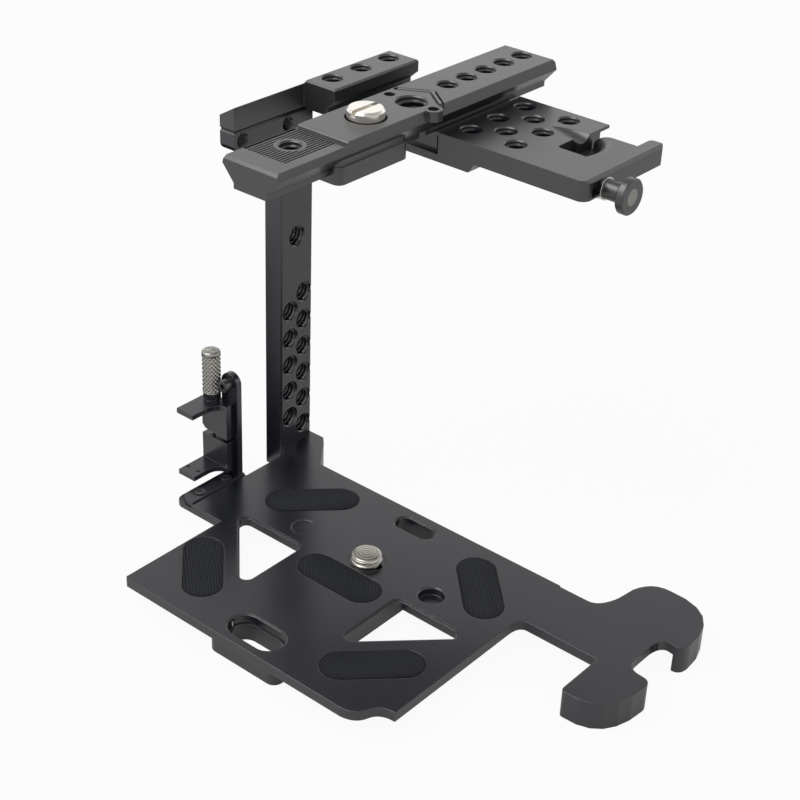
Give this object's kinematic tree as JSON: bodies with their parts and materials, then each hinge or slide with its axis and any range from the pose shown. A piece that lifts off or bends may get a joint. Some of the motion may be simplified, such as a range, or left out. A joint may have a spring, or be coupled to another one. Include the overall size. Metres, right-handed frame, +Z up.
{
  "type": "camera cage",
  "caption": "Half cage for a camera: base plate with a tripod screw, cable claw and cable clamp, side bar, accessory rails, and a cross plate with a pull knob.",
  "frame": {"origin": "axis of the camera screw at the top face of the base plate", "axes": "+X to the camera's right, +Y to the back of the plate, +Z up"},
  "size_m": [0.1703, 0.1659, 0.1391],
  "materials": {
    "black_anodised": "satin black anodised",
    "bright_steel": "turned, bright",
    "black_steel": "black oxide",
    "pad_rubber": "fine ribbed"
  },
  "bodies": {
    "cage": {"base_plate": "black_anodised", "front_foot": "black_anodised", "front_foot_screws": "bright_steel", "pad_back_left": "pad_rubber", "pad_back_right": "pad_rubber", "pad_front_left": "pad_rubber", "pad_front_right": "pad_rubber", "pad_middle": "pad_rubber", "side_bar": "black_anodised", "bar_screws": "black_steel", "side_rail": "black_anodised", "arm_screws": "black_steel", "top_rail": "black_anodised", "rail_block": "black_anodised", "cross_plate": "black_anodised", "rail_bolts": "black_steel", "side_rail_bolts": "black_steel", "knob_bushing": "bright_steel", "clamp_bracket": "black_anodised", "clamp_foot_screws": "black_steel", "clamp_top_screw": "black_steel", "clamp_lower_jaw": "black_anodised"},
    "camera_screw": {"camera_screw": "bright_steel", "screw_clip": "bright_steel"},
    "rail_screw": {"rail_screw": "bright_steel"},
    "hex_key": {"hex_key": "black_steel"},
    "pull_knob": {"pull_knob": "black_anodised", "knob_pin": "bright_steel"},
    "upper_jaw": {"clamp_upper_jaw": "black_anodised"},
    "thumb_screw": {"thumb_screw": "bright_steel"}
  },
  "joints": [
    {"name": "camera_screw_turn", "type": "hinge", "parent": "cage", "child": "camera_screw", "pos_m": [0, 0, 0], "axis": [0, 0, 1], "continuous": true},
    {"name": "rail_screw_turn", "type": "hinge", "parent": "cage", "child": "rail_screw", "pos_m": [-0.0306, 0.0296, 0.1271], "axis": [0, 0, 1], "continuous": true},
    {"name": "hex_key_lift", "type": "slide", "parent": "cage", "child": "hex_key", "axis": [0, 0, 1], "range_m": [0, 0.02]},
    {"name": "knob_pull", "type": "slide", "parent": "cage", "child": "pull_knob", "axis": [1, 0, 0], "range_m": [0, 0.005], "stiffness_N_per_m": 500, "springref_m": -0.006},
    {"name": "jaw_slide", "type": "slide", "parent": "cage", "child": "upper_jaw", "axis": [0, 0, 1], "range_m": [-0.001, 0.004]},
    {"name": "thumb_screw_turn", "type": "hinge", "parent": "upper_jaw", "child": "thumb_screw", "pos_m": [-0.07145, 0.00485, 0.03], "axis": [0, 0, 1], "range_deg": [-902, 3602]}
  ],
  "couplings": [
    {"joint": "thumb_screw_turn", "follows": "jaw_slide", "rad_per_m": 15708}
  ]
}
